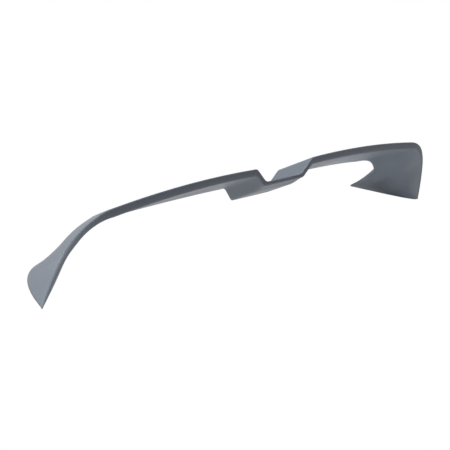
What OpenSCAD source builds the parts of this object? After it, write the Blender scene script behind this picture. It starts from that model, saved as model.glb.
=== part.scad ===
// Roof spoiler for a hatchback, moulded in one piece.
// X runs across the car, Y forward, Z up. All sizes in mm.
// The origin is the middle of the bonding face, in front of the dip.
// The body is one closed skin, swept from the middle of the dip out to both fin points.

/* [Overall] */
// full width across the lower points of the two fins
overall_width = 1200; // [1100:5:1400]
// length from the rear edge forward to the bonding face
blade_depth = 134; // [100:1:180]
// how far the rear face leans in under the blade, in degrees
undercut_angle = 31; // [15:1:45]

/* [Dip] */
// width of the dip's flat bottom, between the meeting lines with its walls
dip_floor_width = 108; // [80:2:160]
// sideways run of each sloping wall
dip_wall_run = 32; // [20:1:50]
// how deep the dip is
dip_depth = 32; // [20:1:45]
// rounding where the floor turns up into the wall
dip_floor_radius = 18; // [6:1:26]
// rounding where the wall turns over into the blade
dip_top_radius = 14; // [6:1:20]
// how much further out the underside of the floor reaches at the front, on each side
dip_flare = 8; // [0:1:14]

/* [Blades] */
// upward slope of the blade beside the dip, in degrees
blade_rise = 2; // [0:0.5:5]
// how far the blade turns downward over its length, in degrees
blade_bend = 9; // [4:0.5:14]
// sideways place where the rear edge starts to sweep forward
sweep_start = 467; // [420:1:520]
// radius of that forward sweep
sweep_radius = 170; // [130:2:400]
// fall of the blade from rear to front
front_fall = 3; // [0:1:10]

/* [Corners and fins] */
// radius of the turn from blade to fin
corner_radius = 133.5; // [90:0.5:160]
// angle of that turn, in degrees
corner_angle = 52.5; // [35:0.5:58]
// length of the fin's rear edge below the turn
fin_length = 103; // [80:1:150]
// how far the fin curves over that length, in degrees
fin_bend = 15.5; // [8:0.5:32]
// how deep the fin's side is dished between its rear and front edges
fin_dish = 15.5; // [0:0.5:20]
// upward crown of the turn between blade and fin
turn_crown = 7; // [0:0.5:12]

/* [Front edge of the fins] */
// places are [outward from the start of the turn, ahead of the blade, above the start of the turn]
// where the blade's line at the start of the turn comes to its front end, inner side
blade_end = [-38.5, 39, -13]; // [-160:0.5:240]
// front point of the fin, inner side
fin_point = [57.5, 186.5, -69]; // [-160:0.5:240]
// first pull point of the fin's lower edge
belly_front = [120, 182, -93]; // [-160:0.5:240]
// second pull point of that edge
belly_rear = [128.5, 4.5, -166]; // [-160:0.5:240]
// the hollow is cut from the sheet at [share of the way down turn and fin, share of the way forward]
// share of the way forward where the blade ends
blade_share = 0.37; // [0.3:0.01:0.5]
// pull point of the hollow's edge along the blade's end
hollow_upper = [0.02, 0.28]; // [0:0.005:1]
// inner corner of the hollow
hollow_corner = [0.202, 0.557]; // [0:0.001:1]
// pull point of its edge along the fin
hollow_lower = [0.263, 0.829]; // [0:0.001:1]

/* [Thickness] */
// height of the rear face along the blades
rear_height = 16; // [12:0.5:24]
// extra height of the rear face where the turn starts
rear_gain = 1.5; // [0:0.5:6]
// height of the rear face in the dip
dip_rear_height = 9; // [6:0.5:14]
// height of the rear face along the dip's walls, square to the wall
dip_wall_height = 12.5; // [8:0.5:16]
// thickness of the blades and of the dip at the front
body_thickness = 15.5; // [12:0.5:22]
// thickness of the dip's walls at the front
dip_wall_thickness = 11; // [8:0.5:15]
// distance over which the dip's underside drops to its full thickness
dip_ramp = 46; // [30:1:90]
// how the rear face thins down turn and fin: 1 is evenly, less is sooner
rear_fade = 0.9; // [0.7:0.05:1.2]
// height of the rear face at the fin's lower point
point_height = 2; // [1.5:0.1:4]
// width of the rolled strip along the fin side of the hollow
roll_width = 9; // [3:0.5:14]
// share of the fin's thickness that is rolled away at the edge itself
edge_roll = 0.8; // [0:0.05:0.9]
// thickness of the fin along its front edge
fin_thickness = 3.5; // [2.5:0.1:6]
// rounding of the upper rear edge
rear_edge_radius = 2.5; // [1:0.1:4]
// rounding of the lower rear edge
lower_edge_radius = 1.2; // [0.4:0.1:2]
// rounding of the dip's corners underneath
under_rounding = 6; // [2:0.5:9]

/* [Hidden] */
finish_blue = [0.42, 0.45, 0.49];

function mix(a, b, t) = a + (b - a) * t;
function ease(t) = let (u = min(1, max(0, t))) u * u * (3 - 2 * u);
function bend3(a, b, c, t) = pow(1 - t, 2) * a + 2 * t * (1 - t) * b + t * t * c;
function bend4(a, b, c, d, t) = pow(1 - t, 3) * a + 3 * pow(1 - t, 2) * t * b
    + 3 * (1 - t) * t * t * c + pow(t, 3) * d;
function inward(a) = [sin(a), -cos(a)];
function arc_len(r, a) = r * a * PI / 180;

// Rear view outline: a chain of straight runs and bends, each [length, turn in degrees, steps].
wall_angle = atan2(dip_depth, dip_wall_run);
wall_turn = wall_angle - blade_rise;
floor_cut = dip_floor_radius * tan(wall_angle / 2);
top_cut = dip_top_radius * tan(wall_turn / 2);
corner_length = arc_len(corner_radius, corner_angle);
run_floor = [dip_floor_width / 2 - floor_cut, 0, 6];
run_floor_bend = [arc_len(dip_floor_radius, wall_angle), -wall_angle, 6];
run_wall = [norm([dip_depth, dip_wall_run]) - floor_cut - top_cut, 0, 4];
run_top_bend = [arc_len(dip_top_radius, wall_turn), wall_turn, 6];
run_corner = [corner_length, corner_angle, 30];
run_fin = [fin_length, fin_bend, 24];
// place and slope at share f along a run that starts at p = [x, z, slope]
function run_at(p, run, f) = abs(run[1]) < 0.01
    ? [p[0] + run[0] * f * cos(p[2]), p[1] + run[0] * f * sin(p[2]), p[2]]
    : let (r = run[0] * 180 / (PI * run[1]), b = p[2] - run[1] * f)
        [p[0] + r * (sin(p[2]) - sin(b)), p[1] + r * (cos(b) - cos(p[2])), b];
floor_end = run_at([0, 0, 0], run_floor, 1);
wall_start = run_at(floor_end, run_floor_bend, 1);
wall_end = run_at(wall_start, run_wall, 1);
blade_start = run_at(wall_end, run_top_bend, 1);
// sideways reach of corner and fin, so that the blade fills what the overall width leaves
corner_reach = run_at([0, 0, blade_rise - blade_bend], run_corner, 1);
fin_reach = run_at(corner_reach, run_fin, 1);
blade_reach = overall_width / 2 - blade_start[0] - fin_reach[0];
blade_chord = 2 * sin(blade_bend / 2) / (blade_bend * PI / 180) * cos(blade_rise - blade_bend / 2);
run_blade = [blade_reach / blade_chord, blade_bend, 26];
turn_start = run_at(blade_start, run_blade, 1);
fin_start = run_at(turn_start, run_corner, 1);
fin_end = run_at(fin_start, run_fin, 1);

// Zones of the sweep: 0 floor, 1 bend, 2 wall, 3 bend, 4 blade, 5 turn, 6 fin.
starts = [[0, 0, 0], floor_end, wall_start, wall_end, blade_start, turn_start, fin_start];
runs = [run_floor, run_floor_bend, run_wall, run_top_bend, run_blade, run_corner, run_fin];
stations = [for (z = [0:6]) for (i = [0:runs[z][2] - 1]) [z, i / runs[z][2]]];
half = concat(stations, [[6, 1]]);

lean = tan(undercut_angle);
function sweep(x) = pow(max(0, abs(x) - sweep_start), 2) / (2 * sweep_radius);
// puts a rear view place [x, z] on the leaning and swept rear face
function on_rear(p) = [p[0], sweep(p[0]) - lean * p[1], p[1]];

// Underside of the dip in the rear view: floor, wall and blade lines moved down and joined.
function low_line(floor_size, wall_size, blade_size, flare) = let (
        side = dip_floor_width / 2 + wall_size / sin(wall_angle),
        a = [side - floor_size / tan(wall_angle) + flare, -floor_size],
        end = [blade_start[0], blade_start[1]] + inward(blade_rise) * blade_size,
        z = end[1] - 5 * sin(blade_rise),
        b = [side + z / tan(wall_angle), z],
        up = (b - a) / norm(b - a),
        cut = min(under_rounding, norm(b - a) * 0.4)
    ) [[0, -floor_size], a - [cut, 0], a, a + up * cut, b - up * cut, b, end];
low_rear = low_line(dip_rear_height, dip_wall_height, rear_height, 0);
low_front = low_line(body_thickness, dip_wall_thickness, body_thickness, dip_flare);
function low_at(l, st) = st[0] == 0 ? mix(l[0], l[1], st[1])
    : st[0] == 1 ? bend3(l[1], l[2], l[3], st[1])
    : st[0] == 2 ? mix(l[3], l[4], st[1])
    : bend3(l[4], l[5], l[6], st[1]);
function on_front(p) = [p[0], blade_depth - lean * (p[1] - front_fall), p[1] - front_fall];

// Rear face height along the blade, and at share c of the way down turn and fin.
turn_rear_height = rear_height + rear_gain;
function blade_rear(f) = rear_height + rear_gain * ease(f);
function turn_rear(c) = mix(turn_rear_height, point_height, pow(c, rear_fade));

// The sheet of turn and fin: c goes down from 0 to 1, t goes forward from 0 to 1.
// It runs on ahead of the blade, and the hollow is cut from it.
down_length = corner_length + fin_length;
point_place = 0.26;
corner_place = 0.16;
function turn_share(st) = st[0] == 5 ? st[1] * corner_length / down_length
    : (corner_length + st[1] * fin_length) / down_length;
function outline_at(c) = let (l = c * down_length) l <= corner_length
    ? run_at(turn_start, run_corner, l / corner_length)
    : run_at(fin_start, run_fin, (l - corner_length) / fin_length);
function rear_out(c) = on_rear(outline_at(c));
function rear_in(c) = let (p = outline_at(c)) on_rear([p[0], p[1]] + inward(p[2]) * turn_rear(c));
function from_turn(v) = [turn_start[0] + v[0], blade_depth + v[1], turn_start[1] + v[2]];
point = from_turn(fin_point);
belly = from_turn(belly_front);
sheet_top = rear_in(0) + (from_turn(blade_end) - rear_in(0)) / blade_share;
sheet_lead = point - (belly - point) * 1.5 * point_place / (1 - point_place);
lower_point = rear_in(1) + [0, 4, 1];
function front_at(c) = c < point_place ? bend3(sheet_top, sheet_lead, point, c / point_place)
    : bend4(point, belly, from_turn(belly_rear), lower_point, (c - point_place) / (1 - point_place));
crown_at_turn = turn_crown * ease(2 / 3);
function swell(c) = turn_crown * ease((c + 0.2) / 0.3) * (1 - ease((c - 0.14) / 0.26))
    - fin_dish * ease((c - 0.1) / 0.3) * (1 - ease((c - 0.6) / 0.4));
function swelled(p, a, w) = let (n = inward(a)) [p[0] - n[0] * w, p[1], p[2] - n[1] * w];
function sheet_in(c, t) = swelled(
    mix(rear_in(c), front_at(c), t), outline_at(c)[2], swell(c) * 4 * t * (1 - t));
function sheet_out(c, t) = let (
        a = outline_at(c)[2],
        m = inward(mix(a, min(a, -68), ease(c / point_place)))
            * fin_thickness * mix(1, 0.6, ease((c - point_place) / (1 - point_place)))
    ) swelled(mix(rear_out(c), front_at(c) - [m[0], 0, m[1]], t), a, swell(c) * 4 * t * (1 - t));
// where a station's line across the sheet ends: on the hollow's edge or on the fin's lower edge
function sheet_end(c) = c < corner_place
    ? bend3([0, blade_share], hollow_upper, hollow_corner, c / corner_place)
    : c < point_place
    ? bend3(hollow_corner, hollow_lower, [point_place, 1],
        (c - corner_place) / (point_place - corner_place))
    : [c, 1];
// along the fin side of the hollow the inner skin rolls over towards the edge
roll_line = [for (i = [0:16]) let (e = sheet_end(mix(corner_place, point_place, i / 16)))
    sheet_in(e[0], e[1])];
function gap_to(p, a, b) = let (f = (p - a) * (b - a) / ((b - a) * (b - a)))
    norm(p - mix(a, b, min(1, max(0, f))));
function roll_at(p) = edge_roll * max([for (i = [0:15])
    1 - ease(gap_to(p, roll_line[i], roll_line[i + 1]) / (roll_width * ease((i + 1) / 6)))]);

// Front edge of the blade, from the bonding face out to the hollow.
function along_front(a, d, f) = bend3(a, [mix(a[0], d[0], 0.6), a[1], a[2] + 1], d, f);

// Inner and outer skins at share t of the way from rear to front.
function blade_swell(f, t) = crown_at_turn * ease(f) * pow(blade_share, 2) * 4 * t * (1 - t);
function dip_in(p, st, t) = let (
        a = low_at(low_rear, st),
        b = low_at(low_front, st),
        settle = mix(ease(t * blade_depth / dip_ramp), t, min(1, max(0, p[1] / dip_depth))),
        q = mix(a, b, settle),
        y = mix(-lean * a[1], blade_depth - lean * (b[1] - front_fall), t)
    ) [q[0], y, q[1] - front_fall * t];
function across(st, t) = let (c = turn_share(st), e = sheet_end(c)) [mix(c, e[0], t), e[1] * t];
function skin_in(p, st, t) = st[0] < 4 ? dip_in(p, st, t)
    : st[0] == 4 ? swelled(mix(
        on_rear([p[0], p[1]] + inward(p[2]) * blade_rear(st[1])),
        along_front(on_front(low_front[6]), sheet_in(0, blade_share), st[1]), t),
        p[2], blade_swell(st[1], t))
    : let (q = across(st, t), a = sheet_in(q[0], q[1])) mix(a, sheet_out(q[0], q[1]), roll_at(a));
function skin_out(p, st, t) = st[0] < 4 ? mix(on_rear([p[0], p[1]]), on_front(p), t)
    : st[0] == 4 ? swelled(mix(
        on_rear([p[0], p[1]]),
        along_front(on_front(blade_start), sheet_out(0, blade_share), st[1]), t),
        p[2], blade_swell(st[1], t))
    : let (q = across(st, t)) sheet_out(q[0], q[1]);

// One ring of points around the body at a station.
upper_steps = [0.1, 0.22, 0.36, 0.52, 0.7, 0.86, 1];
lower_steps = [1, 0.965, 0.91, 0.79, 0.61, 0.45, 0.34, 0.26, 0.18, 0.11, 0.05];
function ring(st) = let (
        p = run_at(starts[st[0]], runs[st[0]], st[1]),
        corner = skin_out(p, st, 0),
        low = skin_in(p, st, 0) - corner,
        ahead = skin_out(p, st, 1) - corner,
        want = rear_edge_radius / tan((90 - undercut_angle) / 2),
        reach = min(want, norm(low) * 0.45, norm(ahead) * 0.3),
        heel = skin_in(p, st, 0),
        below = skin_in(p, st, 0.02) - heel,
        under = min(lower_edge_radius, norm(low) * 0.3, norm(ahead) * 0.2),
        down = low / norm(low),
        out = ahead / norm(ahead)
    ) concat(
        [for (i = [0:4]) bend3(corner + down * reach, corner, corner + out * reach, i / 4)],
        [for (t = upper_steps) skin_out(p, st, mix(reach / norm(ahead), 1, t))],
        [for (t = lower_steps) skin_in(p, st, mix(0.02 * under / norm(below), 1, t))],
        [for (i = [0:2]) bend3(heel + below / norm(below) * under, heel, heel - down * under, i / 2)]
    );
function mirrored(r) = [for (p = r) [-p[0], p[1], p[2]]];

half_rings = [for (st = half) ring(st)];
count = len(half_rings);
rings = concat([for (i = [count - 1:-1:1]) mirrored(half_rings[i])], half_rings);
size = len(rings[0]);
last = len(rings) - 1;

// The part's own origin is the middle of its bonding face.
face_drop = front_fall + body_thickness / 2;
face_middle = [0, blade_depth + lean * face_drop, -face_drop];

module spoiler() {
    points = [for (r = rings) for (p = r) p - face_middle];
    sides = [for (i = [0:last - 1]) for (j = [0:size - 1])
        let (k = (j + 1) % size, a = i * size, b = a + size)
        for (f = [[a + j, b + k, b + j], [a + j, a + k, b + k]]) f];
    ends = [[for (j = [size - 1:-1:0]) j], [for (j = [0:size - 1]) last * size + j]];
    color(finish_blue)
        polyhedron(points = points, faces = concat(sides, ends), convexity = 6);
}

spoiler();
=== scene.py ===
import bmesh
import bpy
import math
from mathutils import Matrix, Vector


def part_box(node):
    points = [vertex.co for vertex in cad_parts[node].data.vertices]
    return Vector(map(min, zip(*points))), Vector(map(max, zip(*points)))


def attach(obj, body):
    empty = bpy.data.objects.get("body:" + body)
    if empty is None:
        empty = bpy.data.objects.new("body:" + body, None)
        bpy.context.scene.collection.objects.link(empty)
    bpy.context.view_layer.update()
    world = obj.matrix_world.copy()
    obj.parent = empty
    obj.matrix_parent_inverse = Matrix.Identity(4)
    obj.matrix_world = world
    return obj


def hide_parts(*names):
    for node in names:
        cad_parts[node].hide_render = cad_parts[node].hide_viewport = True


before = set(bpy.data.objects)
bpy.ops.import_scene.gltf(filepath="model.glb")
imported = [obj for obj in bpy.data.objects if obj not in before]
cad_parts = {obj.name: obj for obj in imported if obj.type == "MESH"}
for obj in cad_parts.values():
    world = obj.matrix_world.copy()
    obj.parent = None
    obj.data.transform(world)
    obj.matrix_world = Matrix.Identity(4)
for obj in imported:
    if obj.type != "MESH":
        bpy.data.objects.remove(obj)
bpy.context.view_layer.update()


def hexToLinear(code):
    # sRGB hex to the linear colour that the shader's sockets take
    steps = [int(code[i:i + 2], 16) / 255 for i in (1, 3, 5)]
    return [s / 12.92 if s <= 0.04045 else ((s + 0.055) / 1.055) ** 2.4 for s in steps] + [1.0]


def addNode(tree, kind, settings=None, links=None):
    # one node, its own settings and input values, then what feeds each input
    node = tree.nodes.new(kind)
    for name, value in (settings or {}).items():
        if name in node.inputs:
            node.inputs[name].default_value = value
        else:
            setattr(node, name, value)
    for name, source in (links or {}).items():
        tree.links.new(source, node.inputs[name])
    return node


def newMaterial(name):
    material = bpy.data.materials.new(name)
    material.use_nodes = True
    material.node_tree.nodes.clear()
    return material, material.node_tree


# the moulded shell's finish
shellFinish = {
    "colour": "#5B626B",        # slate grey
    "ior": 1.45,
    "roughness": (0.46, 0.54),  # satin, slightly patchy as a moulded and wiped surface is
    "tone": (0.97, 1.03),       # how far the grey drifts along with the roughness
    "patchMm": 45,              # size of those patches
    "patchDetail": 3.0,
    "patchRange": (0.3, 0.7),   # the part of the noise that is spread over both ranges above
    "grainMm": 1.6,             # moulding grain, drawn coarser than the real 0.2 mm so that it shows
    "grainDetail": 2.0,
    "grainHeight": 0.0005,      # m
    "grainStrength": 0.02,
    "edgeSoftness": 0.007,      # m, how wide the light rolls over an edge
    "edgeSamples": 12,
}


def mouldedAbs():
    # injection moulded ABS with a satin surface: slate grey, soft wide highlights on every edge
    material, tree = newMaterial("mouldedSatinAbs")
    place = addNode(tree, "ShaderNodeTexCoord")
    grain = addNode(tree, "ShaderNodeTexNoise",
                    {"Scale": 1000 / shellFinish["grainMm"], "Detail": shellFinish["grainDetail"]},
                    {"Vector": place.outputs["Object"]})
    rolled = addNode(tree, "ShaderNodeBevel",
                     {"samples": shellFinish["edgeSamples"],
                      "Radius": shellFinish["edgeSoftness"]})
    relief = addNode(tree, "ShaderNodeBump",
                     {"Strength": shellFinish["grainStrength"],
                      "Distance": shellFinish["grainHeight"]},
                     {"Height": grain.outputs["Fac"], "Normal": rolled.outputs["Normal"]})
    patches = addNode(tree, "ShaderNodeTexNoise",
                      {"Scale": 1000 / shellFinish["patchMm"], "Detail": shellFinish["patchDetail"]},
                      {"Vector": place.outputs["Object"]})
    noiseLow, noiseHigh = shellFinish["patchRange"]
    spread = {}
    for wanted in ("roughness", "tone"):
        low, high = shellFinish[wanted]
        spread[wanted] = addNode(tree, "ShaderNodeMapRange",
                                 {"From Min": noiseLow, "From Max": noiseHigh,
                                  "To Min": low, "To Max": high},
                                 {"Value": patches.outputs["Fac"]})
    grey = addNode(tree, "ShaderNodeHueSaturation",
                   {"Color": hexToLinear(shellFinish["colour"])},
                   {"Value": spread["tone"].outputs["Result"]})
    shader = addNode(tree, "ShaderNodeBsdfPrincipled",
                     {"IOR": shellFinish["ior"]},
                     {"Base Color": grey.outputs["Color"],
                      "Roughness": spread["roughness"].outputs["Result"],
                      "Normal": relief.outputs["Normal"]})
    addNode(tree, "ShaderNodeOutputMaterial", None, {"Surface": shader.outputs["BSDF"]})
    return material


# the shell
shellShape = {
    "mergeWithin": 1e-6,        # m, joins model.glb's loose triangles into one skin
    "creaseAngle": 32,          # degrees; flatter edges than this shade as one smooth skin
}


def buildShell():
    shape = bmesh.new()
    shape.from_mesh(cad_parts["spoiler"].data)
    bmesh.ops.remove_doubles(shape, verts=shape.verts, dist=shellShape["mergeWithin"])
    for face in shape.faces:
        face.smooth = True
    limit = math.radians(shellShape["creaseAngle"])
    for edge in shape.edges:
        edge.smooth = edge.calc_face_angle(0) < limit
    mesh = bpy.data.meshes.new("shell")
    shape.to_mesh(mesh)
    shape.free()
    shell = bpy.data.objects.new("shell", mesh)
    bpy.context.scene.collection.objects.link(shell)
    mesh.materials.append(mouldedAbs())
    return shell


shell = buildShell()
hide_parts("spoiler")
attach(shell, "root")
print("shell:", len(shell.data.polygons), "faces")


def whiteRays(tree):
    # 1 for what the camera sees, directly, mirrored or through glass, 0 for the light itself
    ray = addNode(tree, "ShaderNodeLightPath")
    seen = ray.outputs["Is Camera Ray"]
    for kind in ("Is Glossy Ray", "Is Transmission Ray"):
        either = addNode(tree, "ShaderNodeMath", {"operation": "MAXIMUM"})
        tree.links.new(seen, either.inputs[0])
        tree.links.new(ray.outputs[kind], either.inputs[1])
        seen = either.outputs["Value"]
    return seen


def addPlate(name, low, high, height, material):
    # a level plate between two corners given in plan
    plate = bmesh.new()
    bmesh.ops.create_grid(plate, x_segments=1, y_segments=1, size=0.5)  # 1 m across
    bmesh.ops.scale(plate, verts=plate.verts, vec=(high[0] - low[0], high[1] - low[1], 1))
    middle = ((low[0] + high[0]) / 2, (low[1] + high[1]) / 2, height)
    bmesh.ops.translate(plate, verts=plate.verts, vec=middle)
    mesh = bpy.data.meshes.new(name)
    plate.to_mesh(mesh)
    plate.free()
    mesh.materials.append(material)
    holder = bpy.data.objects.new(name, mesh)
    bpy.context.scene.collection.objects.link(holder)
    return holder


# floor
floorLook = {
    "reach": 30,                # m each way
    "drop": 1.3,                # m, how far it lies below the part
    "colour": "#747474",
    "glow": 0.82,               # lifts the open floor to white for the camera and in reflections
}


def buildFloor():
    material, tree = newMaterial("paintedStudioFloor")
    white = whiteRays(tree)
    paint = addNode(tree, "ShaderNodeBsdfDiffuse", {"Color": hexToLinear(floorLook["colour"])})
    glow = addNode(tree, "ShaderNodeEmission", {"Strength": floorLook["glow"]})
    seen = addNode(tree, "ShaderNodeMixShader", None, {"Fac": white})
    tree.links.new(glow.outputs["Emission"], seen.inputs[2])
    both = addNode(tree, "ShaderNodeAddShader")
    tree.links.new(paint.outputs["BSDF"], both.inputs[0])
    tree.links.new(seen.outputs["Shader"], both.inputs[1])
    addNode(tree, "ShaderNodeOutputMaterial", None, {"Surface": both.outputs["Shader"]})
    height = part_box("spoiler")[0].z - floorLook["drop"]
    reach = floorLook["reach"]
    floor = addPlate("studioFloor", (-reach, -reach), (reach, reach), height, material)
    floor.visible_shadow = False    # lets the low fill shine up through it


buildFloor()
print("floor: in place")

# shade card, a black card under the right fin's front that the camera doesn't see
shadeCard = {
    "low": (0.51, 0.04),        # m, corners in plan
    "high": (0.77, 0.26),
    "height": -0.19,            # m
    "colour": "#0C0C0C",
}


def buildShadeCard():
    material, tree = newMaterial("blackCard")
    black = addNode(tree, "ShaderNodeBsdfDiffuse", {"Color": hexToLinear(shadeCard["colour"])})
    addNode(tree, "ShaderNodeOutputMaterial", None, {"Surface": black.outputs["BSDF"]})
    card = addPlate("shadeCard", shadeCard["low"], shadeCard["high"], shadeCard["height"], material)
    card.visible_camera = False


buildShadeCard()
print("shade card: in place")

# dome, lights softly from all round and is plain white where the camera or a reflection sees it
domeLook = {
    "colour": "#FFFFFF",
    "lightStrength": 0.05,
    "seenStrength": 1.0,
}


def buildDome():
    world = bpy.data.worlds.new("studioDome")
    world.use_nodes = True
    tree = world.node_tree
    tree.nodes.clear()
    lit = addNode(tree, "ShaderNodeBackground", {"Strength": domeLook["lightStrength"]})
    seen = addNode(tree, "ShaderNodeBackground", {"Strength": domeLook["seenStrength"]})
    for shade in (lit, seen):
        shade.inputs["Color"].default_value = hexToLinear(domeLook["colour"])
    pick = addNode(tree, "ShaderNodeMixShader", None, {"Fac": whiteRays(tree)})
    tree.links.new(lit.outputs["Background"], pick.inputs[1])
    tree.links.new(seen.outputs["Background"], pick.inputs[2])
    addNode(tree, "ShaderNodeOutputWorld", None, {"Surface": pick.outputs["Shader"]})
    bpy.context.scene.world = world


buildDome()
print("dome: in place")

# lamps; towards is the direction from the part to the lamp, or for a card the way its back faces
farLamps = {                    # strength, and spread in degrees
    "keyLamp": {"towards": (-0.55, -0.34, 0.76), "strength": 4.2, "spread": 30},
    "leftFill": {"towards": (-0.9, -0.3, 0.2), "strength": 0.5, "spread": 50},
    "lowFill": {"towards": (0, 0, -1), "strength": 1.15, "spread": 40},
}
litCards = {                    # place and size in m, and watts
    "sideCard": {"at": (-1.3, 0.1, -0.55), "towards": (-1.3, 0.1, -0.55), "size": 0.7, "watts": 5.5},
    "underCard": {"at": (0.25, 0, -0.12), "towards": (-1, 0, -0.5), "size": 0.16, "watts": 0.2},
}


def addLamp(name, kind, towards):
    lamp = bpy.data.lights.new(name, kind)
    holder = bpy.data.objects.new(name, lamp)
    bpy.context.scene.collection.objects.link(holder)
    holder.rotation_euler = Vector(towards).to_track_quat("Z", "Y").to_euler()
    return lamp, holder


def buildLamps():
    for name, wanted in farLamps.items():
        lamp, holder = addLamp(name, "SUN", wanted["towards"])
        lamp.energy = wanted["strength"]
        lamp.angle = math.radians(wanted["spread"])
    for name, wanted in litCards.items():
        lamp, holder = addLamp(name, "AREA", wanted["towards"])
        lamp.energy = wanted["watts"]
        lamp.size = wanted["size"]
        holder.location = wanted["at"]
        holder.visible_camera = False


buildLamps()
print("lamps:", len(farLamps), "far lamps and", len(litCards), "lit cards")

# camera
eyePoint = {
    "turn": 35.0,               # degrees to the right of straight ahead
    "roll": 14.734,             # degrees, tips the right end up in the frame
    "sensorMm": 36,
    "focalPixels": 731.915,     # for an image 450 pixels wide
    "imagePixels": 450,
    "aim": (0, -0.1405, 0.0108),        # m, middle of the dip's rear edge
    "aimPixels": (284.489, 177.491),    # where that place falls in the image
    "distance": 1.7278,         # m along the view direction
}


def buildCamera():
    turn, roll = math.radians(eyePoint["turn"]), math.radians(eyePoint["roll"])
    ahead = Vector((math.sin(turn), math.cos(turn), 0))
    level = Vector((math.cos(turn), -math.sin(turn), 0))
    up = Vector((0, 0, 1))
    right = level * math.cos(roll) - up * math.sin(roll)
    top = level * math.sin(roll) + up * math.cos(roll)
    half = eyePoint["imagePixels"] / 2
    across = (eyePoint["aimPixels"][0] - half) / eyePoint["focalPixels"]
    down = (eyePoint["aimPixels"][1] - half) / eyePoint["focalPixels"]
    sight = ahead + right * across - top * down
    place = Vector(eyePoint["aim"]) - sight * eyePoint["distance"]
    lens = bpy.data.cameras.new("camera")
    lens.sensor_width = eyePoint["sensorMm"]
    lens.lens = eyePoint["focalPixels"] / eyePoint["imagePixels"] * lens.sensor_width
    camera = bpy.data.objects.new("camera", lens)
    bpy.context.scene.collection.objects.link(camera)
    turnTo = Matrix((right, top, -ahead)).transposed()
    camera.matrix_world = Matrix.Translation(place) @ turnTo.to_4x4()
    bpy.context.scene.camera = camera
    print("camera: at", [round(v, 4) for v in place])


buildCamera()
bpy.context.scene.view_settings.view_transform = "Standard"
